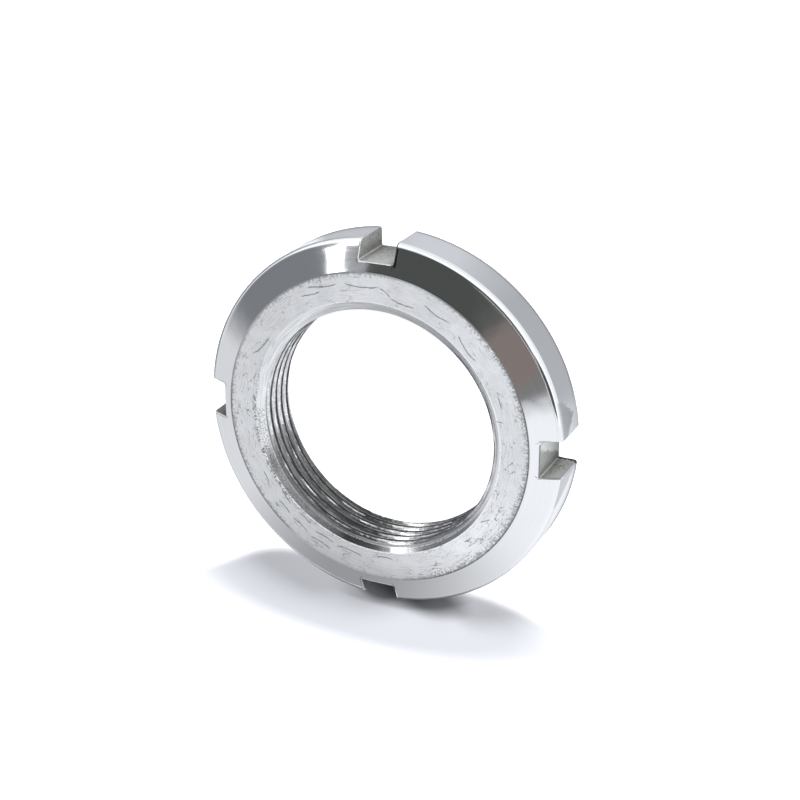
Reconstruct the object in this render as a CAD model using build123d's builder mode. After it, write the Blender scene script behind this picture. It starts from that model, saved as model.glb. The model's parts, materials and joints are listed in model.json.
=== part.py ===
from build123d import *
from math import radians, sqrt, tan
import os

# A slotted lock nut, turned from one bar and milled with hook-spanner slots.
# Frame: +Z along the thread, out of the bevelled locating face. The plain back face lies on Z = 0.
# All sizes are in millimetres, and angles in degrees.

# Driving dimensions
rim_diameter = 52.0
width = 8.0
locating_face_diameter = 44.0
bevel_angle = 23.0  # between the bevel and the locating face
shoulder_radius = 1.0  # rounding where the bevel runs into the rim
back_edge_radius = 0.6  # rounding where the rim runs into the back face

thread_major = 35.0
thread_pitch = 1.5
mouth_overhang = 0.4  # how far a countersink's mouth stands outside the thread's major radius
countersink_angle = 30.0  # between the countersink and the face that it opens from

slot_count = 4
slot_width = 5.0
slot_depth = 2.8  # from the rim down to the slot's flat floor
slot_edge_radius = 0.2  # where the slots break the turned surface

# Derived dimensions
# A metric thread's bore takes off 5/8 of the sharp profile's height on each side.
thread_height = thread_pitch * sqrt(3) / 2
thread_minor = thread_major - 2 * 5 / 8 * thread_height
bore_radius = thread_minor / 2
mouth_radius = thread_major / 2 + mouth_overhang
countersink_depth = (mouth_radius - bore_radius) * tan(radians(countersink_angle))
rim_radius = rim_diameter / 2
face_radius = locating_face_diameter / 2
bevel_drop = (rim_radius - face_radius) * tan(radians(bevel_angle))
slot_floor = rim_radius - slot_depth

# The section's two rounded corners: distance from the axis, then height above the back face
shoulder = (rim_radius, width - bevel_drop)
back_corner = (rim_radius, 0)

with BuildPart() as lock_nut:
    # The turned ring: the bore stands at the thread's minor diameter, ready for the thread to be cut.
    with BuildSketch(Plane.XZ) as section:
        with BuildLine():
            Polyline(
                (mouth_radius, 0),
                back_corner,
                shoulder,
                (face_radius, width),
                (mouth_radius, width),
                (bore_radius, width - countersink_depth),
                (bore_radius, countersink_depth),
                close=True,
            )
        make_face()
        fillet(section.vertices().sort_by_distance(shoulder)[0], radius=shoulder_radius)
        fillet(section.vertices().sort_by_distance(back_corner)[0], radius=back_edge_radius)
    revolve(axis=Axis.Z)

    # The slots run from face to face, each with a flat floor square to its own radius.
    with BuildSketch():
        with PolarLocations(slot_floor, slot_count):
            Rectangle(2 * slot_depth, slot_width, align=(Align.MIN, Align.CENTER))
    extrude(amount=width, mode=Mode.SUBTRACT)

    # Their outline is rounded off, and the inner corners between walls and floor stay sharp.
    slot_sides = lock_nut.faces(Select.LAST).filter_by(GeomType.PLANE)
    slot_sides = slot_sides.filter_by(lambda side: abs(side.normal_at().Z) < 0.5)
    slot_outline = slot_sides.edges().filter_by(Edge.is_interior, reverse=True)
    fillet(slot_outline, radius=slot_edge_radius)

lock_nut.part.label = "lock_nut"

os.makedirs("parts", exist_ok=True)
export_step(lock_nut.part, "parts/lock_nut.step")
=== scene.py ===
import json
from math import atan2, cos, hypot, pi, radians, sin, sqrt, tan

import bmesh
import bpy
from mathutils import Matrix, Vector, noise


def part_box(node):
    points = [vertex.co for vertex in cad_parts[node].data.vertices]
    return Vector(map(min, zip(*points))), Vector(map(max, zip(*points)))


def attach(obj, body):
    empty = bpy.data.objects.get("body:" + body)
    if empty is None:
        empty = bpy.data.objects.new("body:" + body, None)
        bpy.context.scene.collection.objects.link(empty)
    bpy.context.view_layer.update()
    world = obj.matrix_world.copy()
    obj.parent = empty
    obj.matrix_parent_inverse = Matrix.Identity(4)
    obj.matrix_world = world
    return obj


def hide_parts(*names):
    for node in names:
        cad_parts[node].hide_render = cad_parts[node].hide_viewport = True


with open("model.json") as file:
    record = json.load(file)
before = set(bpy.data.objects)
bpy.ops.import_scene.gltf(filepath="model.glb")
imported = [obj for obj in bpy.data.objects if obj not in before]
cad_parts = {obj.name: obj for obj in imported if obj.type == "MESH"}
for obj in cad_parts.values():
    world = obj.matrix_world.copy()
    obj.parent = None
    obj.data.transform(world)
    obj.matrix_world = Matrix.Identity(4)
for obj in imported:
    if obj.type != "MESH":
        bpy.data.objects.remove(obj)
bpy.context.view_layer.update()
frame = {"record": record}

# A slotted lock nut lying on its back face, with its thread upright along +Z.
# Lengths are in metres, angles in radians.
MM = 0.001
cad_low, cad_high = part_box("lock_nut")
thread_mount = next(mount for mount in frame["record"]["mounts"] if mount["name"] == "thread")

# The turned section
WIDTH = cad_high.z - cad_low.z
RIM = 26.0 * MM
FACE = 22.0 * MM
BEVEL = radians(23)
SHOULDER = 1.0 * MM  # rounding between bevel and rim
BACK_EDGE = 0.6 * MM  # rounding between rim and back face

# The thread and the countersinks at its two mouths
PITCH = 1.5 * MM
MAJOR = 17.5 * MM
MINOR = thread_mount["dims"]["r_mm"] * MM
MOUTH = 17.9 * MM
COUNTERSINK = radians(30)
CREST_FLAT = PITCH / 4
ROOT_FLAT = PITCH / 8
CREST_TEAR = 0.09 * MM  # the most that tearing takes off a crest's edges
TEAR_REACH = 0.16 * MM  # how far below a crest its tearing changes the flanks
FRONT_SEED, BACK_SEED = 0.0, 50.0  # so that a crest's two edges tear differently
CLEAN_CUT = radians(60)
CREST_HEIGHT = WIDTH - 2.597 * MM  # of one crest's middle where the thread crosses +X

# The slots
SLOTS = 4
SLOT_HALF = 2.5 * MM
SLOT_FLOOR = 23.2 * MM  # from the thread's axis
SLOT_EDGE = 0.2 * MM  # rounding of the slots' outline

# How finely the surfaces are divided
EDGE_STEPS = 6
SHOULDER_STEPS = 9
BACK_EDGE_STEPS = 6
RIM_STEPS = 12
BEVEL_STEPS = 9
FACE_STEPS = 12
FLANK_STEPS = 3
FLOOR_COLUMNS = 9  # across half a slot
WALL_COLUMNS = 9  # along the bevelled part of a slot's wall
NEAR_COLUMNS = 8  # on the rim beside a slot
FAR_COLUMNS = 70  # on half the rim between two slots
NEAR_ANGLE = radians(10)  # within this of a slot's middle, the columns of the mesh lean to its outline
WELD = 0.0002 * MM  # corners closer than this become one
SHARP = radians(24)  # edges that turn more than this aren't shaded smooth

# Regions of the nut's surface, each with its own finish
FACE_REGION, BEVEL_REGION, SLOT_REGION, EDGE_REGION, BORE_REGION = range(5)


def spread(first, last, steps):
    """Evenly spaced values from first to last, both included."""
    return [first + (last - first) * i / steps for i in range(steps + 1)]


def on_circle(radius, angle, height):
    return Vector((radius * cos(angle), radius * sin(angle), height))


def bevel_height(distance):
    """Height of the bevelled side at a distance from the axis. Inside the bevel it is the flat face."""
    return WIDTH - max(0.0, distance - FACE) * tan(BEVEL)


def section_arc(centre_distance, centre_height, radius, start, end, steps):
    """A rounded corner of the section: distance, height, and the normal's parts out and up."""
    return [
        (centre_distance + radius * sin(a), centre_height + radius * cos(a), sin(a), cos(a))
        for a in spread(start, end, steps)
    ]


def outer_section():
    """The section from the bevel's lower end round the rim to the flat of the back face."""
    drop = SHOULDER * (1 - sin(BEVEL)) / cos(BEVEL)
    shoulder_height = bevel_height(RIM) - drop
    shoulder = section_arc(RIM - SHOULDER, shoulder_height, SHOULDER, BEVEL, pi / 2, SHOULDER_STEPS)
    heights = spread(shoulder_height, BACK_EDGE, RIM_STEPS)[1:-1]
    rim = [(RIM, height, 1.0, 0.0) for height in heights]
    back = section_arc(RIM - BACK_EDGE, BACK_EDGE, BACK_EDGE, pi / 2, pi, BACK_EDGE_STEPS)
    return shoulder + rim + back


# The rounded outline of a slot is what a ball rolling inside the metal would touch. Its centre keeps
# to these two lines, for a slot whose middle lies along +X.
BALL_WALL = SLOT_HALF + SLOT_EDGE
BALL_FLOOR = SLOT_FLOOR - SLOT_EDGE
WALL_NORMAL = Vector((0, -1, 0))
FLOOR_NORMAL = Vector((1, 0, 0))


def ball_under_bevel(x, y):
    """The ball's centre, and the bevel's normal where it touches."""
    distance = hypot(x, y)
    normal = Vector((x / distance * sin(BEVEL), y / distance * sin(BEVEL), cos(BEVEL)))
    touch = bevel_height(distance + SLOT_EDGE * sin(BEVEL))
    return Vector((x, y, touch - SLOT_EDGE * cos(BEVEL))), normal


def ball_over_back(x, y):
    return Vector((x, y, SLOT_EDGE)), Vector((0, 0, -1))


def ball_in_section(distance, height, out, up):
    """The ball beside a slot's wall, where it touches one point of the section."""
    reach = distance - SLOT_EDGE * out
    x = sqrt(reach**2 - BALL_WALL**2)
    centre = Vector((x, BALL_WALL, height - SLOT_EDGE * up))
    return centre, Vector((x / reach * out, BALL_WALL / reach * out, up))


def edge_arc(ball, cut_normal):
    """Cross-section of the rounded edge, from the turned surface to the slot's wall or floor."""
    centre, normal = ball
    return [centre + SLOT_EDGE * normal.slerp(cut_normal, i / EDGE_STEPS) for i in range(EDGE_STEPS + 1)]


def corner_arc(ball_at):
    """Where the rounded edges of a wall and the floor meet over the slot's sharp inner corner."""
    along_wall = edge_arc(ball_at(BALL_FLOOR, BALL_WALL), WALL_NORMAL)
    along_floor = edge_arc(ball_at(BALL_FLOOR, BALL_WALL), FLOOR_NORMAL)
    points = []
    for i in range(EDGE_STEPS + 1):
        shift = along_floor[i].x - along_wall[i].x
        points.append(edge_arc(ball_at(BALL_FLOOR + shift, BALL_WALL), WALL_NORMAL)[i])
    return points


def half_slot(section):
    """Cross-sections of the rounded edge on a slot's +Y half: across the floor, then along the wall."""
    floor_at = spread(0, BALL_WALL, FLOOR_COLUMNS)[:-1]
    front_floor = [edge_arc(ball_under_bevel(BALL_FLOOR, y), FLOOR_NORMAL) for y in floor_at]
    back_floor = [edge_arc(ball_over_back(BALL_FLOOR, y), FLOOR_NORMAL) for y in floor_at]
    around = [edge_arc(ball_in_section(*point), WALL_NORMAL) for point in section]
    front_end = ball_in_section(*section[0])[0].x
    back_end = ball_in_section(*section[-1])[0].x
    front_at = spread(SLOT_FLOOR, front_end, WALL_COLUMNS)[:-1]
    back_at = spread(SLOT_FLOOR, back_end, WALL_COLUMNS)[:-1]
    front_wall = [edge_arc(ball_under_bevel(x, BALL_WALL), WALL_NORMAL) for x in front_at]
    back_wall = [edge_arc(ball_over_back(x, BALL_WALL), WALL_NORMAL) for x in back_at]
    front_corner, back_corner = corner_arc(ball_under_bevel), corner_arc(ball_over_back)
    return {
        "front floor": front_floor + [front_corner],
        "back floor": back_floor + [back_corner],
        "wall": [front_corner, *front_wall, *around, *back_wall[::-1], back_corner],
        "front ends": [arc[0] for arc in (*front_floor, front_corner, *front_wall, around[0])],
        "back ends": [arc[0] for arc in (*back_floor, back_corner, *back_wall, around[-1])],
        "rim end": [arc[0] for arc in around],
    }


def tear(angle, height, seed):
    """How far the cutting tore away a crest's edge at one place, from 0 to CREST_TEAR. It is cleaner
    around CLEAN_CUT."""
    place = on_circle(MINOR, angle, height) / MM + Vector((0, 0, seed))
    coarse = noise.noise(place * 0.5)
    fine = noise.noise(place * 1.7)
    torn = min(1.0, max(0.0, 0.35 + 0.8 * coarse + 0.5 * fine))
    return CREST_TEAR * torn * (1 - 0.9 * max(0.0, cos(angle - CLEAN_CUT)))


def thread_corners(angle):
    """Corners of the thread's section at one angle, from the front down: distance, height."""
    flank = PITCH / 2 - CREST_FLAT / 2 - ROOT_FLAT / 2
    reach = flank * TEAR_REACH / (MAJOR - MINOR)
    crest = CREST_HEIGHT + PITCH * angle / (2 * pi)
    turns = int(WIDTH / PITCH) + 2
    corners = []
    for turn in range(turns, -turns, -1):
        top = crest + turn * PITCH + CREST_FLAT / 2
        bottom = top - CREST_FLAT
        front, back = tear(angle, top, FRONT_SEED), tear(angle, top, BACK_SEED)
        corners.append((MINOR + TEAR_REACH, top + reach))
        corners.append((MINOR + front / 2, top - front))
        corners.append((MINOR + back / 3, bottom + back / 2))
        corners.append((MINOR + TEAR_REACH, bottom - reach))
        corners.append((MAJOR, bottom - flank))
        corners.append((MAJOR, bottom - flank - ROOT_FLAT))
    return corners


def cut_height(corners, countersink_distance):
    """Height at which the countersink runs out into the thread."""
    for (r_a, z_a), (r_b, z_b) in zip(corners, corners[1:]):
        gap_a = r_a - countersink_distance(z_a)
        gap_b = r_b - countersink_distance(z_b)
        if gap_a < 0 <= gap_b or gap_b < 0 <= gap_a:
            share = gap_a / (gap_a - gap_b)
            return z_a + (z_b - z_a) * share, r_a + (r_b - r_a) * share
    raise ValueError("the countersink misses the thread")


def bore_section(angle):
    """The bore's section at one angle, from the front mouth to the back one."""
    corners = thread_corners(angle)
    divided = []
    for (r_a, z_a), (r_b, z_b) in zip(corners, corners[1:]):
        steps = FLANK_STEPS if abs(r_b - r_a) > 2 * TEAR_REACH else 1
        divided += [(r_a + (r_b - r_a) * k / steps, z_a + (z_b - z_a) * k / steps) for k in range(steps)]
    slope = 1 / tan(COUNTERSINK)
    front_z, front_r = cut_height(corners, lambda z: MOUTH - (WIDTH - z) * slope)
    back_z, back_r = cut_height(corners, lambda z: MOUTH - z * slope)
    points = [(MOUTH, WIDTH)]
    for r, z in divided:
        if z >= front_z:
            points.append((front_r, front_z))
        elif z <= back_z:
            points.append((back_r, back_z))
        else:
            points.append((r, z))
    points.append((MOUTH, 0.0))
    return [on_circle(r, angle, z) for r, z in points]


def add_grid(mesh, rows, region):
    """Adds a surface through rows of points. Cells that have shrunk to a line are left out later."""
    vertices = [[mesh.verts.new(point) for point in row] for row in rows]
    for upper, lower in zip(vertices, vertices[1:]):
        for k in range(len(upper) - 1):
            face = mesh.faces.new((upper[k], upper[k + 1], lower[k + 1], lower[k]))
            face.material_index = region


def build_nut_mesh():
    section = outer_section()
    half = half_slot(section)
    mirror = Matrix.Diagonal((1, -1, 1))
    quarter = radians(360 / SLOTS)

    # Columns from one slot's middle to half-way to the next: inner angles, and ends on the outline
    rim_angle = atan2(half["front ends"][-1].y, half["front ends"][-1].x)
    near = spread(rim_angle, NEAR_ANGLE, NEAR_COLUMNS)[1:]
    far = spread(NEAR_ANGLE, quarter / 2, FAR_COLUMNS)[1:]
    plain = near + far
    front_ends = half["front ends"] + [on_circle(section[0][0], a, section[0][1]) for a in plain]
    back_ends = half["back ends"] + [on_circle(section[-1][0], a, section[-1][1]) for a in plain]
    lengths = [0.0]
    for a, b in zip(front_ends, front_ends[1:]):
        lengths.append(lengths[-1] + (b.xy - a.xy).length)
    near_length = lengths[len(lengths) - len(far) - 1]
    inner = [NEAR_ANGLE * length / near_length for length in lengths[: len(lengths) - len(far)]] + far

    def both_sides(points):
        """A row over both halves of a quarter, from its points on the +Y half."""
        return [mirror @ p for p in points[::-1]] + list(points[1:])

    mesh = bmesh.new()
    angles = []
    for slot in range(SLOTS):
        turn = Matrix.Rotation(quarter * slot, 3, "Z")

        def add(rows, region):
            add_grid(mesh, [[turn @ p for p in row] for row in rows], region)

        # The bevel and the back face, from the face's radius out to the slot's outline and the rim
        for ends, height, region in (
            (front_ends, bevel_height, BEVEL_REGION),
            (back_ends, lambda distance: 0.0, FACE_REGION),
        ):
            rows = []
            for share in spread(0, 1, BEVEL_STEPS):
                row = []
                for angle, end in zip(inner, ends):
                    start = on_circle(FACE, angle, 0)
                    x, y = start.x + (end.x - start.x) * share, start.y + (end.y - start.y) * share
                    row.append(Vector((x, y, height(hypot(x, y)))))
                rows.append(both_sides(row))
            add(rows, region)

        # The shoulder, the rim and the back edge, between this slot's wall and the middle of the gap
        for side in (Matrix.Identity(3), mirror):
            rows = []
            for k, (distance, height, _, _) in enumerate(section):
                points = [half["rim end"][k]] + [on_circle(distance, a, height) for a in plain]
                rows.append([side @ p for p in points])
            add(rows, BEVEL_REGION)

        # The slot: rounded edges, floor and walls
        for part in ("front floor", "back floor"):
            add([both_sides(row) for row in zip(*half[part])], EDGE_REGION)
        floor = [[arc[-1] for arc in half[part]] for part in ("front floor", "back floor")]
        add([both_sides(row) for row in floor], SLOT_REGION)
        for side in (Matrix.Identity(3), mirror):
            add([[side @ p for p in arc] for arc in half["wall"]], EDGE_REGION)
            wall = mesh.faces.new([mesh.verts.new(turn @ side @ arc[-1]) for arc in half["wall"]])
            wall.material_index = SLOT_REGION

        angles += [quarter * slot + a for a in [-a for a in inner[:0:-1]] + inner]

    # The two flat faces and the bore, column by column round the axis
    angles = sorted(set(round(a, 9) for a in angles))
    for height in (WIDTH, 0.0):
        rows = [[on_circle(r, a, height) for a in angles] for r in spread(MOUTH, FACE, FACE_STEPS)]
        add_grid(mesh, rows, FACE_REGION)
    add_grid(mesh, [bore_section(a) for a in angles], BORE_REGION)
    return mesh


def add_object(name, data):
    added = bpy.data.objects.new(name, data)
    bpy.context.scene.collection.objects.link(added)
    return added


def finish_mesh(mesh, name):
    """Welds the surfaces into one closed skin, turns it outwards and marks its sharp edges."""
    bmesh.ops.remove_doubles(mesh, verts=mesh.verts, dist=WELD)
    bmesh.ops.recalc_face_normals(mesh, faces=mesh.faces)
    for face in mesh.faces:
        face.smooth = True
    for edge in mesh.edges:
        if len(edge.link_faces) == 2:
            one, other = edge.link_faces
            sharp = edge.calc_face_angle(0) > SHARP
            edge.smooth = not sharp and one.material_index == other.material_index
    data = bpy.data.meshes.new(name)
    mesh.to_mesh(data)
    mesh.free()
    return add_object(name, data)


BLACK = (0.0, 0.0, 0.0, 1.0)
WHITE = (1.0, 1.0, 1.0, 1.0)
STEEL = (0.98, 0.99, 1.0, 1.0)
LOW_IOR = 1.02  # keeps the dark outlines, which are hardly metallic, from shining


class Graph:
    """Short ways to add and join the shader nodes of one material or world. The values that they
    take are numbers, colours, vectors or other nodes' sockets."""

    def __init__(self, owner):
        owner.use_nodes = True
        self.owner = owner
        self.tree = owner.node_tree
        self.tree.nodes.clear()

    def plug(self, socket, value):
        if isinstance(value, bpy.types.NodeSocket):
            self.tree.links.new(value, socket)
        else:
            socket.default_value = value

    def add(self, kind, inputs=None, **settings):
        node = self.tree.nodes.new(kind)
        for name, value in settings.items():
            setattr(node, name, value)
        for key, value in (inputs or {}).items():
            self.plug(node.inputs[key], value)
        return node

    def math(self, operation, a, b=0.0, c=0.0):
        return self.add("ShaderNodeMath", {0: a, 1: b, 2: c}, operation=operation).outputs[0]

    def times(self, first, *others):
        for other in others:
            first = self.math("MULTIPLY", first, other)
        return first

    def plus(self, first, *others):
        for other in others:
            first = self.math("ADD", first, other)
        return first

    def minus(self, a, b):
        return self.math("SUBTRACT", a, b)

    def gap(self, a, b):
        """How far apart two values are."""
        return self.math("ABSOLUTE", self.minus(a, b))

    def vector(self, operation, a, b=(0, 0, 0)):
        node = self.add("ShaderNodeVectorMath", {0: a, 1: b}, operation=operation)
        return node.outputs["Value" if operation in ("LENGTH", "DOT_PRODUCT") else "Vector"]

    def scaled(self, vector, factor):
        node = self.add("ShaderNodeVectorMath", {0: vector, "Scale": factor}, operation="SCALE")
        return node.outputs["Vector"]

    def joined(self, x, y, z):
        return self.add("ShaderNodeCombineXYZ", {0: x, 1: y, 2: z}).outputs[0]

    def parts(self, vector):
        return self.add("ShaderNodeSeparateXYZ", {0: vector}).outputs

    def step(self, value, start, end, low=0.0, high=1.0):
        """Smooth change from low to high as value goes from start to end."""
        inputs = {"Value": value, "From Min": start, "From Max": end, "To Min": low, "To Max": high}
        return self.add("ShaderNodeMapRange", inputs, interpolation_type="SMOOTHSTEP").outputs[0]

    def fade(self, value, start, end):
        """1 up to start, then smoothly down to 0 at end."""
        return self.step(value, start, end, 1.0, 0.0)

    def by_angle(self, angle, stops):
        """A value that follows an angle between (degrees, value) stops, from -180 to 180 degrees."""
        share = self.add("ShaderNodeMapRange", {"Value": angle, "From Min": -180.0, "From Max": 180.0})
        ramp = self.add("ShaderNodeValToRGB", {0: share.outputs[0]})
        elements = ramp.color_ramp.elements
        for degrees, _ in stops[1:-1]:
            elements.new((degrees + 180) / 360)
        for element, (_, value) in zip(elements, stops):
            element.color = (value, value, value, 1)
        return ramp.outputs[0]

    def mix(self, factor, a, b):
        """A colour between a and b."""
        return self.add("ShaderNodeMix", {0: factor, 6: a, 7: b}, data_type="RGBA").outputs[2]

    def blend(self, factor, a, b):
        """A number between a and b."""
        return self.add("ShaderNodeMix", {0: factor, 2: a, 3: b}, data_type="FLOAT").outputs[0]

    def noise(self, vector, scale, detail=2.0, roughness=0.5):
        inputs = {"Vector": vector, "Scale": scale, "Detail": detail, "Roughness": roughness}
        return self.add("ShaderNodeTexNoise", inputs).outputs[0]


class Surface(Graph):
    """A new material. It holds its object's own coordinates in mm: the place, its parts x, y and
    height, and for the Z axis the distance from it, the direction away from it, and the angle round
    it in degrees."""

    def __init__(self, name):
        super().__init__(bpy.data.materials.new(name))
        self.place = self.scaled(self.add("ShaderNodeTexCoord").outputs["Object"], 1 / MM)
        self.x, self.y, self.height = self.parts(self.place)
        self.flat = self.joined(self.x, self.y, 0.0)
        self.distance = self.vector("LENGTH", self.flat)
        self.outward = self.vector("NORMALIZE", self.flat)
        self.angle = self.times(self.math("ARCTAN2", self.y, self.x), 180 / pi)

    def warp(self, scale, most):
        """A random shift of each place, whose parts go from 0 to the most."""
        shift = self.add("ShaderNodeTexNoise", {"Vector": self.place, "Scale": scale}).outputs["Color"]
        return self.scaled(shift, most)

    def off_oval(self, middle, half_x, half_y):
        """How far out a place lies from an oval's middle on the floor: 1 on the oval's edge."""
        off = self.vector("SUBTRACT", self.flat, (*middle, 0.0))
        return self.vector("LENGTH", self.vector("MULTIPLY", off, (1 / half_x, 1 / half_y, 0.0)))

    def show(self, shader):
        self.add("ShaderNodeOutputMaterial", {"Surface": shader.outputs[0]})
        return self.owner


class Metal(Surface):
    """A finish of the nut's steel."""

    def drawn_out(self, value, lengthwise, across):
        """Coordinates that draw noise out round the axis: lengthwise units a radian, and so many
        across for each mm of a value."""
        beside = self.joined(0.0, 0.0, self.times(value, across))
        return self.vector("ADD", self.scaled(self.outward, lengthwise), beside)

    def round_axis(self, lengthwise, across):
        """The same for rings, as turning leaves them on flat, slanted and upright surfaces."""
        return self.drawn_out(self.minus(self.distance, self.height), lengthwise, across)

    def rings(self, lengthwise, across, detail=2.0):
        return self.noise(self.round_axis(lengthwise, across), 1.0, detail)

    def stroke(self, place, start, end, bend, width):
        """A curved line on the flat face, 1 on it and 0 beside it. All in mm, and bend is how far
        its middle stands off the straight line."""
        start, end = Vector(start), Vector(end)
        length = (end - start).length
        along = (end - start) / length
        off_start = self.vector("SUBTRACT", place, (start.x, start.y, 0))
        share = self.math("DIVIDE", self.vector("DOT_PRODUCT", off_start, (along.x, along.y, 0)), length)
        bow = self.times(share, self.minus(1.0, share), 4 * bend)
        off = self.minus(self.vector("DOT_PRODUCT", off_start, (-along.y, along.x, 0)), bow)
        line = self.fade(self.math("ABSOLUTE", off), width * 0.3, width)
        return self.times(line, self.fade(self.gap(share, 0.5), 0.36, 0.5))

    def turned_away(self, start, end):
        """0 where the surface faces the viewer, and 1 where it turns away."""
        facing = self.add("ShaderNodeLayerWeight", {"Blend": 0.5}).outputs["Facing"]
        return self.step(facing, start, end)

    def finish(self, tone, roughness, bumps, metallic=1.0, tint=STEEL):
        """Joins up the shader. Tone is how light the metal is under its tint, and bumps are (height
        in mm, value) pairs."""
        colour = self.mix(tone, BLACK, tint)
        inputs = {"Base Color": colour, "Roughness": roughness, "Metallic": metallic, "IOR": LOW_IOR}
        for height, value in bumps:
            bump = {"Height": value, "Distance": height * MM, "Strength": 1.0}
            if "Normal" in inputs:
                bump["Normal"] = inputs["Normal"]
            inputs["Normal"] = self.add("ShaderNodeBump", bump).outputs[0]
        return self.show(self.add("ShaderNodeBsdfPrincipled", inputs))


# The locating face by angle: how far its outer edge is worn, how much painted light and shade it
# has, and how far the bore's edge is nicked. Then its longer scratches: start, end and how far the
# middle bends aside, in mm.
EDGE_WEAR = (
    (-180, 0.70), (-150, 0.60), (-130, 0.60), (-122, 0.12), (-108, 0.30), (-82, 0.35), (-66, 0.70),
    (-52, 1.0), (-14, 1.0), (0, 0.65), (14, 0.95), (26, 0.70), (44, 0.80), (60, 0.55), (74, 0.30),
    (92, 0.55), (110, 0.65), (134, 0.55), (150, 0.40), (180, 0.70),
)
FACE_PAINTED_LIGHT = (
    (-180, 0.85), (-160, 0.79), (-140, 0.72), (-116, 0.69), (-98, 0.75), (-82, 0.83), (-66, 0.84),
    (-54, 0.90), (-46, 0.95), (-30, 0.90), (-16, 0.84), (0, 0.80), (20, 0.83), (42, 0.90), (54, 0.91),
    (66, 0.85), (78, 0.88), (94, 0.94), (110, 0.88), (124, 0.85), (150, 0.81), (180, 0.85),
)
NICKS = ((-180, 0.80), (-140, 0.70), (-118, 0.15), (150, 0.0), (166, 0.45), (180, 0.80))
SCRATCH_WIDTH = 0.11
SCRATCHES = (
    ((7.0, 18.9), (10.7, 16.9), -0.25),
    ((11.8, 15.6), (14.4, 12.2), -0.30),
    ((0.8, 20.1), (2.4, 19.0), 0.15),
    ((2.3, 19.0), (5.9, 18.1), -0.20),
    ((-9.8, 18.7), (-5.2, 19.8), -0.20),
    ((-4.4, 20.0), (0.9, 20.2), -0.25),
    ((-10.7, 17.3), (-7.7, 18.4), -0.15),
    ((-18.4, 7.9), (-15.5, 11.0), -0.35),
    ((-14.4, -11.8), (-13.0, -13.7), 0.05),
    ((-11.9, -14.5), (-9.8, -16.1), 0.10),
    ((-9.4, -17.0), (-6.3, -18.2), 0.15),
    ((-6.0, -18.5), (-1.8, -19.4), 0.20),
    ((0.1, -18.8), (2.8, -18.8), 0.10),
    ((13.2, -13.7), (14.1, -13.0), 0.0),
    ((15.4, -10.5), (16.9, -9.6), 0.15),
    ((17.2, 4.5), (18.2, 4.5), 0.0),
    ((17.5, 8.0), (18.1, 6.3), -0.05),
    ((-17.2, -9.2), (-16.4, -11.0), 0.10),
    ((-14.9, -13.3), (-13.1, -15.2), 0.12),
    ((-12.8, -15.6), (-10.4, -17.4), 0.15),
    ((-10.0, -17.9), (-6.8, -19.3), 0.12),
    ((19.7, 2.1), (19.95, 1.9), 0.0),
    ((18.6, -1.9), (18.85, -2.1), 0.0),
)


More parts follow.
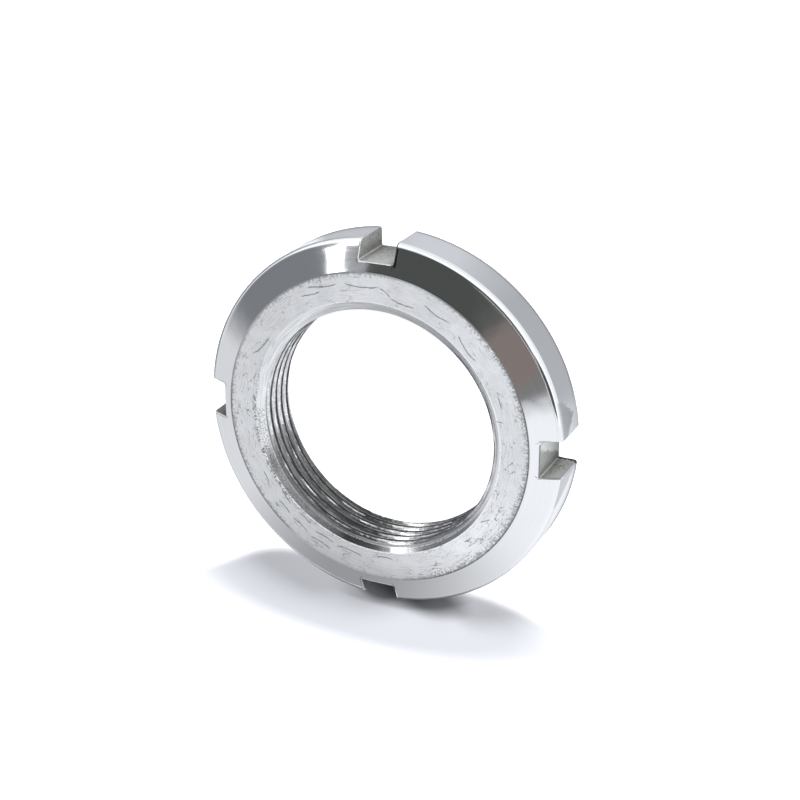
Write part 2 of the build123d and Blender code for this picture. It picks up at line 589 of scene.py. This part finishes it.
def face_finish():
    """Both flat faces."""
    metal = Metal("satin_turned_steel")
    mouth, face = MOUTH / MM, FACE / MM
    rings = metal.rings(3.0, 9.0, 4.0)
    cloud = metal.noise(metal.place, 0.5, 4.0, 0.6)
    grain = metal.noise(metal.place, 5.0, 3.0, 0.7)
    # The tone varies at random with cloud, rings and grain, times painted light and shade by angle
    shade = metal.times(
        metal.step(cloud, 0.3, 0.7, 0.93, 1.03),
        metal.step(rings, 0.3, 0.7, 0.95, 1.03),
        metal.step(grain, 0.25, 0.75, 0.94, 1.05),
        metal.by_angle(metal.angle, FACE_PAINTED_LIGHT),
    )

    # Fine creases in patches, mostly along the turning, and fainter at the upper right
    warp = metal.warp(0.6, 0.9)
    drawn = metal.vector("ADD", metal.round_axis(7.0, 2.2), warp)
    cells = metal.add("ShaderNodeTexVoronoi", {"Vector": drawn, "Scale": 1.0}, feature="DISTANCE_TO_EDGE")
    creases = metal.fade(cells.outputs[0], 0.008, 0.035)
    patches = metal.step(metal.noise(metal.place, 0.42, 2.0), 0.40, 0.56)
    depth = metal.step(metal.gap(metal.angle, 48.0), 26.0, 44.0, 0.42, 0.78)
    marks = metal.times(creases, metal.times(patches, metal.step(grain, 0.38, 0.56), depth))

    # Longer scratches, made a little unsteady
    wobble = metal.vector("SUBTRACT", metal.warp(1.3, 0.3), (0.15, 0.15, 0.15))
    place = metal.vector("ADD", metal.place, wobble)
    scratched = 0.0
    for start, end, bend in SCRATCHES:
        scratched = metal.math("MAXIMUM", scratched, metal.stroke(place, start, end, bend, SCRATCH_WIDTH))
    scratched = metal.times(scratched, metal.step(grain, 0.3, 0.6, 0.35, 0.78))
    marks = metal.math("MAXIMUM", marks, scratched)

    # The worn outer edge: a broken dark line, with short hairs and specks inside it
    wear = metal.by_angle(metal.angle, EDGE_WEAR)
    hairs = metal.noise(metal.vector("ADD", metal.round_axis(75.0, 2.0), warp), 1.0, 3.0, 0.7)
    fuzz = metal.noise(metal.place, 3.6, 3.0, 0.7)
    hairs = metal.times(metal.plus(hairs, fuzz), 0.5)
    inside = metal.minus(face - 0.04, metal.distance)
    fading = metal.math("DIVIDE", inside, metal.plus(metal.times(wear, 1.5), 0.1))
    hairy = metal.step(metal.minus(hairs, metal.times(fading, 0.16)), 0.40, 0.50)
    hairy = metal.times(hairy, metal.step(fading, 0.1, 1.0, 0.60, 0.20))
    lined = metal.times(metal.fade(inside, 0.12, 0.28), metal.step(hairs, 0.25, 0.55, 0.40, 0.78))
    worn = metal.times(metal.math("MAXIMUM", hairy, lined), metal.step(wear, 0.1, 0.8, 0.2, 1.0))
    marks = metal.math("MAXIMUM", marks, worn)

    # The bore's edge has a painted highlight, and is nicked on the left
    painted_mouth_highlight = metal.fade(metal.distance, mouth + 0.10, mouth + 0.30)
    chips = metal.step(metal.noise(metal.place, 3.2, 3.0, 0.7), 0.50, 0.57)
    near_mouth = metal.fade(metal.distance, mouth + 0.25, mouth + 0.95)
    nicked = metal.times(chips, metal.times(near_mouth, metal.by_angle(metal.angle, NICKS)))
    marks = metal.math("MAXIMUM", marks, nicked)

    tone = metal.times(metal.blend(painted_mouth_highlight, shade, 0.97), metal.minus(1.0, marks))
    roughness = metal.step(rings, 0.2, 0.8, 0.30, 0.42)
    return metal.finish(tone, roughness, [(0.004, rings), (0.006, grain)])


# Rounded edges have a painted dark outline, painted shade where they turn away from the viewer: how
# light it is, how metallic, and how strong along the shoulder by angle
PAINTED_OUTLINE_TONE = 0.30
PAINTED_OUTLINE_METAL = 0.05
PAINTED_OUTLINE_BY_ANGLE = (
    (-180, 0.35), (-155, 0.20), (-128, 0.30), (-105, 0.90), (-62, 0.90), (-48, 0.40), (-38, 0.10),
    (-6, 0.10), (0, 1.0), (165, 1.0), (180, 0.35),
)


def bevel_finish():
    """The bevel, the shoulder, the rim and the rounding behind it."""
    metal = Metal("polished_turned_steel")
    bevel_end = (RIM - SHOULDER + SHOULDER * sin(BEVEL)) / MM
    rings = metal.rings(1.5, 9.0, 3.0)
    waves = metal.noise(metal.place, 0.35, 1.0)
    grain = metal.noise(metal.place, 4.0, 3.0, 0.6)
    ragged = metal.times(metal.minus(grain, 0.5), 3.0)
    tone = metal.step(rings, 0.3, 0.7, 0.77, 0.79)
    roughness = metal.step(rings, 0.2, 0.8, 0.06, 0.10)

    # A rougher line with a painted highlight where the bevel runs out into the shoulder on the right
    line = metal.times(
        metal.fade(metal.gap(metal.distance, bevel_end), 0.02, 0.06),
        metal.fade(metal.gap(metal.angle, 22.0), 30.0, 42.0),
    )
    tone = metal.blend(line, tone, 0.92)
    roughness = metal.blend(line, roughness, 0.5)

    # The rim is duller than the bevel. Above the right slot it has a rough grey patch, and is pale
    # beyond it.
    on_rim = metal.step(metal.distance, RIM / MM - 0.03, RIM / MM - 0.01)
    roughness = metal.blend(on_rim, roughness, 0.17)
    side = metal.times(metal.gap(metal.angle, 11.0), 0.55)
    above = metal.minus(metal.minus(metal.plus(metal.height, ragged), side), 1.9)
    rough = metal.step(above, -0.1, 0.1)
    near_slot = metal.times(metal.step(metal.angle, 5.0, 5.5), metal.step(metal.distance, 25.85, 25.95))
    patch = metal.times(near_slot, metal.fade(metal.plus(metal.angle, ragged), 16.5, 17.5), rough)
    pale = metal.times(near_slot, metal.fade(metal.angle, 11.0, 20.0))
    tone = metal.blend(patch, tone, metal.step(grain, 0.3, 0.7, 0.52, 0.60))
    tone = metal.blend(metal.times(pale, metal.minus(1.0, rough)), tone, 0.99)
    roughness = metal.blend(metal.math("MAXIMUM", patch, pale), roughness, 0.48)

    # Below the same slot there is a smaller grey patch, which runs out along the shoulder
    slant = metal.times(metal.plus(metal.angle, 7.0), 0.46)
    patch = metal.times(
        metal.step(metal.plus(metal.height, metal.times(ragged, 0.5), slant), 1.9, 2.3),
        metal.fade(metal.angle, -5.5, -5.0),
        metal.step(metal.angle, -20.0, -15.0),
        metal.step(metal.distance, 25.78, 25.84),
    )
    tone = metal.blend(patch, tone, 0.60)
    roughness = metal.blend(patch, roughness, 0.48)

    # The shoulder's painted dark outline
    on_shoulder = metal.minus(metal.step(metal.distance, bevel_end - 0.16, bevel_end), on_rim)
    dark = metal.times(on_shoulder, metal.turned_away(0.42, 0.56), metal.by_angle(metal.angle, PAINTED_OUTLINE_BY_ANGLE))
    tone = metal.times(tone, metal.blend(dark, 1.0, PAINTED_OUTLINE_TONE))

    # Painted shade: a dark strip along the right side of the top slot
    painted_shade_strip = metal.times(
        metal.fade(metal.gap(metal.x, 2.75), 0.10, 0.18),
        metal.step(metal.y, 22.9, 23.0),
        metal.fade(metal.distance, bevel_end - 0.1, bevel_end),
    )
    tone = metal.blend(painted_shade_strip, tone, 0.12)
    bumps = [(0.02, waves), (0.0003, rings), (0.0012, grain)]
    return metal.finish(tone, roughness, bumps, metal.blend(dark, 1.0, PAINTED_OUTLINE_METAL))


# A dark, ragged line at the back of the right slot's lower wall runs as far as this angle, in degrees
DARK_BACK_EDGE_END = -7.0
DARK_BACK_EDGE_TONE = 0.05


def slot_finish():
    """The slots' floors and walls."""
    metal = Metal("milled_steel")
    floor, half = SLOT_FLOOR / MM, SLOT_HALF / MM
    x, y = metal.math("ABSOLUTE", metal.x), metal.math("ABSOLUTE", metal.y)
    deep, side = metal.math("MAXIMUM", x, y), metal.math("MINIMUM", x, y)
    on_wall = metal.step(side, half - 0.02, half - 0.01)
    drawn = metal.joined(metal.times(x, 7.0), metal.times(y, 7.0), metal.times(metal.height, 0.9))
    cuts = metal.noise(drawn, 1.0, 3.0)
    pits = metal.noise(metal.place, 2.6, 2.0)
    # Painted shade: the walls grow darker towards the floor, and the floors towards the walls
    painted_wall_shade = metal.step(deep, floor, floor + 1.9, 0.62, 1.12)
    painted_floor_shade = metal.step(side, 1.0, half, 1.0, 0.66)
    shade = metal.blend(on_wall, painted_floor_shade, painted_wall_shade)
    specks = metal.step(pits, 0.60, 0.68, 1.0, 0.62)
    tone = metal.times(metal.step(cuts, 0.25, 0.75, 0.70, 0.86), metal.times(shade, specks))

    # The inner corners catch the light
    corner = metal.times(
        metal.fade(deep, floor + 0.05, floor + 0.25),
        metal.step(side, half - 0.25, half - 0.05),
    )
    tone = metal.blend(corner, tone, 0.92)

    # Painted light and shade in the right slot: lighter walls, and a floor painted light above and dark
    # below
    rightmost = metal.step(metal.x, 19.0, 20.0)
    below = metal.minus(metal.y, metal.times(metal.height, 0.4))
    below = metal.plus(below, metal.noise(metal.place, 1.2, 2.0))
    painted_floor_light_and_shade = metal.step(below, -1.5, -0.8, 0.72, 1.5)
    tone = metal.times(tone, metal.blend(rightmost, 1.0, metal.blend(on_wall, painted_floor_light_and_shade, 1.18)))

    # Painted shade: the bottom slot is dark, and so is the left slot's lower wall
    lower_wall = metal.times(metal.fade(metal.x, -20.0, -19.0), metal.fade(metal.y, -2.4, -2.3))
    painted_slot_shade = metal.math("MAXIMUM", metal.fade(metal.y, -20.0, -19.0), lower_wall)
    tone = metal.times(tone, metal.blend(painted_slot_shade, 1.0, 0.35))

    # The dark line's part on the wall has a ragged outline
    uneven = metal.plus(metal.height, metal.times(metal.noise(metal.place, 3.2, 2.0), 1.3))
    dark_back_edge = metal.times(
        metal.fade(uneven, 1.2, 1.35),
        metal.step(metal.angle, DARK_BACK_EDGE_END, DARK_BACK_EDGE_END + 0.1),
        metal.times(on_wall, metal.fade(metal.angle, -0.1, 0.0)),
    )
    tone = metal.blend(dark_back_edge, tone, DARK_BACK_EDGE_TONE)
    return metal.finish(tone, 0.5, [(0.008, cuts), (0.01, pits)], tint=(1.0, 1.0, 0.96, 1.0))


# Stretches of the slots' front edges painted darker or lighter than the rest, as painted shade and
# painted highlights: from and to along X, from and to along Y, in mm, and how light they are
EDGE_PAINTED_LIGHT_AND_SHADE = (
    (2.3, 2.8, 22.9, 26.0, 0.05),
    (-2.8, -2.3, 22.9, 24.9, 1.0),
    (-1.3, 2.4, 22.9, 23.19, 0.06),
    (22.9, 23.3, -2.6, 2.2, 0.22),
    (23.2, 25.75, -2.8, -2.3, 0.20),
    (-2.8, -2.3, -26.0, -22.9, 0.45),
    (-26.0, -22.9, -2.8, -2.3, 0.55),
    (-2.3, 2.8, -26.0, -22.9, 0.97),
)


def edge_finish():
    """The rounded edges of the slots."""
    metal = Metal("deburred_steel")
    grain = metal.noise(metal.place, 6.0, 3.0)
    ragged = metal.vector("ADD", metal.place, metal.scaled(metal.joined(grain, grain, 0.0), 0.1))
    x, y, _ = metal.parts(ragged)
    in_front = metal.step(metal.height, 5.0, 5.3)
    # A painted dark outline where the edges turn away from the viewer
    dark = metal.turned_away(0.46, 0.70)
    tone = metal.times(metal.step(grain, 0.3, 0.7, 0.7, 0.85), metal.blend(dark, 1.0, PAINTED_OUTLINE_TONE))
    # Painted highlights and painted shade on stretches of the edges
    for left, right, low, high, level in EDGE_PAINTED_LIGHT_AND_SHADE:
        off_x = metal.minus(metal.gap(x, (left + right) / 2), (right - left) / 2)
        off_y = metal.minus(metal.gap(y, (low + high) / 2), (high - low) / 2)
        inside = metal.times(metal.fade(metal.math("MAXIMUM", off_x, off_y), -0.02, 0.0), in_front)
        tone = metal.blend(inside, tone, level)
        dark = metal.blend(inside, dark, 1.0 - level)

    # The dark line's part on the wall's rounded edge
    dark_back_edge = metal.times(
        metal.fade(metal.height, 0.9, 1.2),
        metal.step(metal.angle, DARK_BACK_EDGE_END, DARK_BACK_EDGE_END + 0.1),
        metal.fade(metal.angle, -5.2, -5.1),
    )
    tone = metal.blend(dark_back_edge, tone, DARK_BACK_EDGE_TONE)
    return metal.finish(tone, 0.30, [(0.005, grain)], metal.blend(dark, 1.0, PAINTED_OUTLINE_METAL))


# How light the countersinks are painted by angle: painted light and shade
CHAMFER_PAINTED_LIGHT = (
    (-180, 0.78), (-150, 0.80), (-134, 0.80), (-116, 0.66), (-106, 0.36), (-88, 0.40), (-84, 0.90),
    (-75, 0.90), (-70, 0.60), (-30, 0.70), (-16, 0.82), (30, 0.78), (90, 0.74), (140, 0.78), (180, 0.78),
)


def bore_finish():
    """The thread and the two countersinks."""
    metal = Metal("cut_thread_steel")
    minor, major, pitch, mouth = MINOR / MM, MAJOR / MM, PITCH / MM, MOUTH / MM

    # Height over the helix of the crests, and over the nearest crest, in mm. The angle starts at +Y:
    # the noise drawn along the thread breaks off there, out of the photograph's sight.
    turned = metal.math("DIVIDE", metal.math("WRAP", metal.angle, 450.0, 90.0), 360.0)
    lifted = metal.minus(metal.height, metal.times(turned, pitch))
    over_crest = metal.math("WRAP", metal.minus(lifted, CREST_HEIGHT / MM), pitch / 2, -pitch / 2)
    streaks = metal.noise(metal.drawn_out(lifted, 5.5, 6.5), 1.0, 4.0, 0.65)
    lines = metal.noise(metal.drawn_out(lifted, 2.2, 9.0), 1.0, 2.0)
    fine_lines = metal.noise(metal.drawn_out(lifted, 2.5, 22.0), 1.0, 3.0)
    torn = metal.noise(metal.place, 3.0, 3.0, 0.6)
    grain = metal.noise(metal.place, 5.5, 3.0, 0.7)
    turned_marks = metal.rings(4.0, 10.0, 3.0)

    # The thread. Its lower left is duller, with fine light lines along it.
    ragged = metal.plus(metal.distance, metal.times(metal.minus(torn, 0.5), 0.22))
    on_crest = metal.fade(ragged, minor + 0.05, minor + 0.12)
    deep = metal.step(ragged, minor + 0.34, minor + 0.50)
    lower_left = metal.fade(metal.gap(metal.angle, -137.0), 24.0, 34.0)
    tone = metal.step(streaks, 0.3, 0.7, 0.42, 0.98)
    tone = metal.blend(deep, tone, metal.step(streaks, 0.3, 0.7, 0.45, 0.80))
    tone = metal.blend(on_crest, tone, metal.step(streaks, 0.4, 0.7, 0.20, 0.38))
    tone = metal.times(
        tone,
        metal.step(grain, 0.36, 0.60, 0.80, 1.06),
        metal.blend(lower_left, 1.0, metal.step(fine_lines, 0.42, 0.60, 0.75, 1.5)),
    )
    roughness = metal.step(streaks, 0.3, 0.7, 0.06, 0.12)
    roughness = metal.blend(lower_left, roughness, 0.24)
    roughness = metal.blend(deep, roughness, 0.40)
    roughness = metal.blend(on_crest, roughness, 0.36)

    # Each countersink, and the ridge where the front one runs into the thread
    to_face = metal.math("MINIMUM", metal.minus(WIDTH / MM, metal.height), metal.height)
    cone = metal.minus(mouth, metal.times(to_face, 1 / tan(COUNTERSINK)))
    on_cone = metal.fade(metal.gap(metal.distance, cone), 0.01, 0.02)
    flank_slope = (MAJOR - MINOR) / (PITCH / 2 - CREST_FLAT / 2 - ROOT_FLAT / 2)
    below = metal.minus(metal.times(over_crest, -1.0), CREST_FLAT / 2 / MM)
    flank = metal.math("MINIMUM", metal.plus(metal.times(below, flank_slope), minor), major)
    ridge = metal.fade(metal.minus(metal.distance, flank), 0.05, 0.35)
    ridge = metal.times(ridge, metal.step(torn, 0.35, 0.5))
    rough_side = metal.fade(metal.gap(metal.angle, -150.0), 36.0, 52.0)
    cone_tone = metal.times(
        metal.step(turned_marks, 0.3, 0.7, 0.85, 1.1),
        metal.by_angle(metal.angle, CHAMFER_PAINTED_LIGHT),
        metal.step(streaks, 0.35, 0.65, 0.94, 1.04),
        metal.blend(rough_side, 1.0, metal.step(grain, 0.36, 0.60, 0.62, 1.12)),
    )
    cone_tone = metal.blend(metal.times(ridge, 0.7), cone_tone, 0.95)
    tone = metal.blend(on_cone, tone, cone_tone)

    # Both countersinks are dullest at the lower left, and shiny close to their lowest point
    dull = metal.step(metal.gap(metal.angle, -128.0), 16.0, 26.0, 0.38, 0.19)
    dull = metal.blend(metal.step(metal.gap(metal.angle, -79.0), 5.0, 8.0), 0.07, dull)
    roughness = metal.blend(on_cone, roughness, metal.blend(ridge, dull, 0.5))
    neutral_side = metal.fade(metal.gap(metal.angle, -138.0), 8.0, 22.0)
    tint = metal.mix(neutral_side, STEEL, (0.98, 1.0, 1.01, 1.0))
    bumps = [(0.0012, lines), (0.0005, torn), (0.001, turned_marks)]
    return metal.finish(tone, roughness, bumps, tint=tint)


nut = finish_mesh(build_nut_mesh(), "threaded_lock_nut")
for finish in (face_finish, bevel_finish, slot_finish, edge_finish, bore_finish):
    nut.data.materials.append(finish())
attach(nut, "root")
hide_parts("lock_nut")


# The camera stands where the photograph was taken from, seen from the nut: turned about +Y, then
# lifted towards +Y. The nut's middle is off the centre of the picture.
VIEW_TURN = 0.4372
VIEW_LIFT = 0.4003
VIEW_DISTANCE = 220.5 * MM
VIEW_RIGHT = 3.404 * MM
VIEW_UP = 4.081 * MM
FOCAL_LENGTH = 74.755
SENSOR = 36.0


def add_camera():
    right = Vector((cos(VIEW_TURN), 0, -sin(VIEW_TURN)))
    toward = Vector((sin(VIEW_TURN) * cos(VIEW_LIFT), sin(VIEW_LIFT), cos(VIEW_TURN) * cos(VIEW_LIFT)))
    up = toward.cross(right)
    data = bpy.data.cameras.new("camera")
    data.lens = FOCAL_LENGTH
    data.sensor_width = SENSOR
    data.clip_start = 0.01
    camera = add_object("camera", data)
    place = Vector((0, 0, WIDTH)) + VIEW_RIGHT * right + VIEW_UP * up + VIEW_DISTANCE * toward
    camera.matrix_world = Matrix.Translation(place) @ Matrix((right, up, toward)).transposed().to_4x4()
    bpy.context.scene.camera = camera


def off_axis(graph, direction, middle, turned):
    """How far a direction lies from a patch's middle along its two axes, in degrees."""
    middle = Vector(middle).normalized()
    side = middle.cross(Vector((0, 0, 1))).normalized()
    side.rotate(Matrix.Rotation(radians(turned), 3, middle))
    depth = graph.vector("DOT_PRODUCT", direction, middle)
    offs = []
    for axis in (side, side.cross(middle)):
        sideways = graph.math("ABSOLUTE", graph.vector("DOT_PRODUCT", direction, axis))
        offs.append(graph.times(graph.math("ARCTAN2", sideways, depth), 180 / pi))
    return offs


def round_patch(graph, direction, middle, width, height, turned, soft):
    """How much of an oval patch of the surroundings shows in a direction. Sizes are in degrees, and
    soft is the share of its half width over which it fades."""
    side, over = off_axis(graph, direction, middle, turned)
    off = graph.joined(graph.times(side, 2 / width), graph.times(over, 2 / height), 0.0)
    return graph.fade(graph.vector("LENGTH", off), 1 - soft / 2, 1 + soft / 2)


def square_patch(graph, direction, middle, width, height, turned, soft):
    """The same for a straight-edged patch, such as a lamp. Here soft is in degrees."""
    side, over = off_axis(graph, direction, middle, turned)
    across = graph.fade(side, (width - soft) / 2, (width + soft) / 2)
    along = graph.fade(over, (height - soft) / 2, (height + soft) / 2)
    return graph.times(across, along)


# What stands round the nut in its reflections, before a bright background. Each patch has its kind,
# the direction of its middle, its width, height, turn and softness, and its colour. Later ones cover
# earlier ones.
SKY = (1.0, 1.01, 1.04, 1.0)
SURROUNDINGS = (
    # bright walls low on the viewer's side
    (round_patch, (0.64, 0.64, 0.42), 120, 50, 0, 0.4, (1.5, 1.5, 1.5, 1)),
    (round_patch, (-0.55, 0.80, 0.24), 60, 44, 0, 0.4, (1.5, 1.5, 1.5, 1)),
    # a dark thing over the walls
    (round_patch, (0.72, 0.03, 0.69), 30, 38, 0, 0.3, (0.10, 0.10, 0.105, 1)),
    # the viewer, dark and grey-edged, with a grey sleeve and a hand
    (round_patch, (0.064, 0.40, 0.914), 76, 56, 10, 0.10, (0.40, 0.405, 0.43, 1)),
    (round_patch, (0.064, 0.40, 0.914), 62, 46, 10, 0.08, (0.085, 0.092, 0.088, 1)),
    (round_patch, (0.33, 0.36, 0.87), 24, 24, 0, 0.6, (0.17, 0.175, 0.17, 1)),
    (round_patch, (0.28, -0.01, 0.96), 20, 28, 10, 0.5, (0.235, 0.235, 0.235, 1)),
    (round_patch, (0.28, 0.07, 0.957), 18, 14, 10, 0.6, (0.27, 0.225, 0.215, 1)),
    # a grey wall on the left
    (round_patch, (-0.781, 0.082, 0.616), 43, 60, -40, 0.75, (0.24, 0.25, 0.27, 1)),
    # a narrow lamp, and a shorter one beside it
    (square_patch, (-0.551, 0.456, 0.701), 6.2, 9, -38, 0.8, (4.0, 4.0, 4.0, 1)),
    (square_patch, (-0.598, 0.338, 0.727), 5.0, 2.8, -38, 0.6, (4.0, 4.0, 4.0, 1)),
)

# Light on the table: the sky's, and that of two soft lamps (azimuth, elevation, width, what each
# adds to level ground). Metal shows the surroundings instead of the lamps.
AMBIENT = (0.135, 0.14, 0.155, 1)
LAMP_COLOUR = (0.945, 0.96, 1.03)
SOFT_LAMPS = (
    ("lamp_right", radians(34), radians(23), radians(15), 0.43),
    ("lamp_left", radians(144), radians(33), radians(14), 0.43),
)


def light_world():
    world = bpy.data.worlds.new("studio")
    bpy.context.scene.world = world
    graph = Graph(world)
    direction = graph.add("ShaderNodeTexCoord").outputs["Generated"]
    colour = SKY
    for kind, middle, width, height, turned, soft, shade in SURROUNDINGS:
        colour = graph.mix(kind(graph, direction, middle, width, height, turned, soft), colour, shade)
    path = graph.add("ShaderNodeLightPath")
    colour = graph.mix(path.outputs["Is Diffuse Ray"], colour, AMBIENT)
    colour = graph.mix(path.outputs["Is Camera Ray"], colour, WHITE)
    background = graph.add("ShaderNodeBackground", {"Color": colour, "Strength": 1.0})
    graph.add("ShaderNodeOutputWorld", {"Surface": background.outputs[0]})


def add_soft_lamps():
    for name, azimuth, elevation, width, level in SOFT_LAMPS:
        data = bpy.data.lights.new(name, "SUN")
        data.angle = width
        data.energy = level * pi / sin(elevation)
        data.color = LAMP_COLOUR
        lamp = add_object(name, data)
        lamp.visible_glossy = False
        toward = Vector((cos(azimuth) * cos(elevation), sin(azimuth) * cos(elevation), sin(elevation)))
        lamp.rotation_mode = "QUATERNION"
        lamp.rotation_quaternion = toward.to_track_quat("Z", "Y")


# What the pale card and the table look like in the metal
CARD_COLOUR = (0.97, 0.985, 1.02, 1.0)
TABLE_COLOUR = (0.955, 0.985, 1.04, 1.0)


def add_panel(name, corners):
    data = bpy.data.meshes.new(name)
    data.from_pydata(corners, [], [(0, 1, 2, 3)])
    return add_object(name, data)


def add_near_card():
    """A pale card close to the nut's -Y side, seen only in the metal. It has a painted shadow, dark low
    down in front of the nut, where it shades the nearest part of the ring."""
    near, low, high, half = -27.5 * MM, 7.0 * MM, 260 * MM, 200 * MM
    near_card = add_panel(
        "near_card", [(-half, near, low), (half, near, low), (half, near, high), (-half, near, high)]
    )
    for ray in ("camera", "diffuse", "transmission", "volume_scatter", "shadow"):
        setattr(near_card, "visible_" + ray, False)
    card = Surface("pale_card")
    low_left = card.step(card.x, -42.0, -9.0, 0.90, 0.40)
    low_right = card.step(card.x, -5.0, 34.0, 0.0, 0.85)
    high_glow = card.times(
        card.step(card.x, -80.0, 20.0, 0.86, 1.05),
        card.step(card.x, 18.0, 36.0, 1.0, 1.1),
        card.step(card.height, 120.0, 260.0, 1.0, 0.55),
    )
    strength = card.blend(card.step(card.height, 11.0, 28.0), card.plus(low_left, low_right), high_glow)
    glow = card.add("ShaderNodeEmission", {"Color": CARD_COLOUR, "Strength": strength})
    near_card.data.materials.append(card.show(glow))


# A painted reflection: how light the table near the rim looks to the metal, by angle, as a share of the
# brightest
BRIGHTEST = 1.15
RIM_PAINTED_REFLECTION = (
    (-180, 0.35), (-128, 0.35), (-122, 0.09), (-62, 0.09), (-46, 0.90), (-12, 0.97), (6, 0.50), (48, 0.48),
    (62, 0.60), (70, 0.70), (82, 0.70), (92, 0.61), (115, 0.56), (120, 1.0), (144, 1.0), (152, 0.35),
    (180, 0.35),
)


def add_floor():
    half = 1.5
    floor = add_panel("floor", [(-half, -half, 0), (half, -half, 0), (half, half, 0), (-half, half, 0)])
    table = Surface("white_table")
    path = table.add("ShaderNodeLightPath")

    # What the camera sees: a painted glow, seen only by the camera, keeps the shadow to the -Y side and
    # makes the rest of the table white
    below = table.plus(
        table.y,
        table.step(table.x, -5.0, 12.0, 0.0, 1.8),
        table.step(table.x, 12.0, 26.0, 0.0, 2.4),
        table.step(table.x, -38.0, -17.0, 7.4, 0.0),
        table.step(table.x, -14.0, -8.0, 1.2, 0.0),
    )
    in_shadow = table.fade(below, -26.0, -22.5)
    glow = table.plus(
        table.step(in_shadow, 0.0, 1.0, 0.85, 0.0),
        table.step(table.off_oval((-5.5, -31.2), 29, 7.6), 0.75, 1.10, 0.0, 0.25),
    )
    glow = table.times(table.math("MINIMUM", glow, 0.91), path.outputs["Is Camera Ray"])

    # A painted shadow in the table's colour, darkest beside the nut's lowest part in the picture, before
    # its bottom slot, and along its edge
    painted_contact_shadow = table.step(table.off_oval((4.5, -28.8), 7, 3.2), 0.30, 1.1, 0.26, 0.85)
    under_slot = table.step(table.off_oval((-3.2, -28.0), 4.6, 3.3), 0.55, 1.05, 0.32, 1.0)
    off_edge = table.plus(table.distance, table.times(table.plus(table.angle, 82.0), 0.06))
    at_edge = table.step(table.gap(table.angle, -88.0), 12.0, 24.0, 0.32, 0.0)
    edge_line = table.times(table.fade(off_edge, 30.2, 31.2), at_edge)
    painted_contact_shadow = table.times(painted_contact_shadow, table.minus(1.0, edge_line), under_slot)
    table_colour = table.mix(table.math("MAXIMUM", painted_contact_shadow, 0.18), BLACK, WHITE)

    # What the metal sees: a painted reflection of a white table, grey near the rim, with painted shade
    # under the nut
    painted_reflection = table.times(table.by_angle(table.angle, RIM_PAINTED_REFLECTION), BRIGHTEST)
    painted_reflection = table.blend(table.step(table.distance, 30.0, 32.5), painted_reflection, BRIGHTEST)
    painted_reflection = table.blend(table.step(table.distance, 26.0, 26.6), 0.25, painted_reflection)
    painted_reflection = table.blend(table.step(table.distance, 18.0, 20.0), 0.12, painted_reflection)

    diffuse = table.add("ShaderNodeBsdfDiffuse", {"Color": table_colour})
    lit = table.add("ShaderNodeEmission", {"Color": WHITE, "Strength": glow})
    seen = table.add("ShaderNodeAddShader", {0: diffuse.outputs[0], 1: lit.outputs[0]})
    mirrored = table.add("ShaderNodeEmission", {"Color": TABLE_COLOUR, "Strength": painted_reflection})
    both = {0: path.outputs["Is Glossy Ray"], 1: seen.outputs[0], 2: mirrored.outputs[0]}
    floor.data.materials.append(table.show(table.add("ShaderNodeMixShader", both)))


light_world()
add_soft_lamps()
add_near_card()
add_floor()
add_camera()
bpy.context.scene.view_settings.view_transform = "Standard"
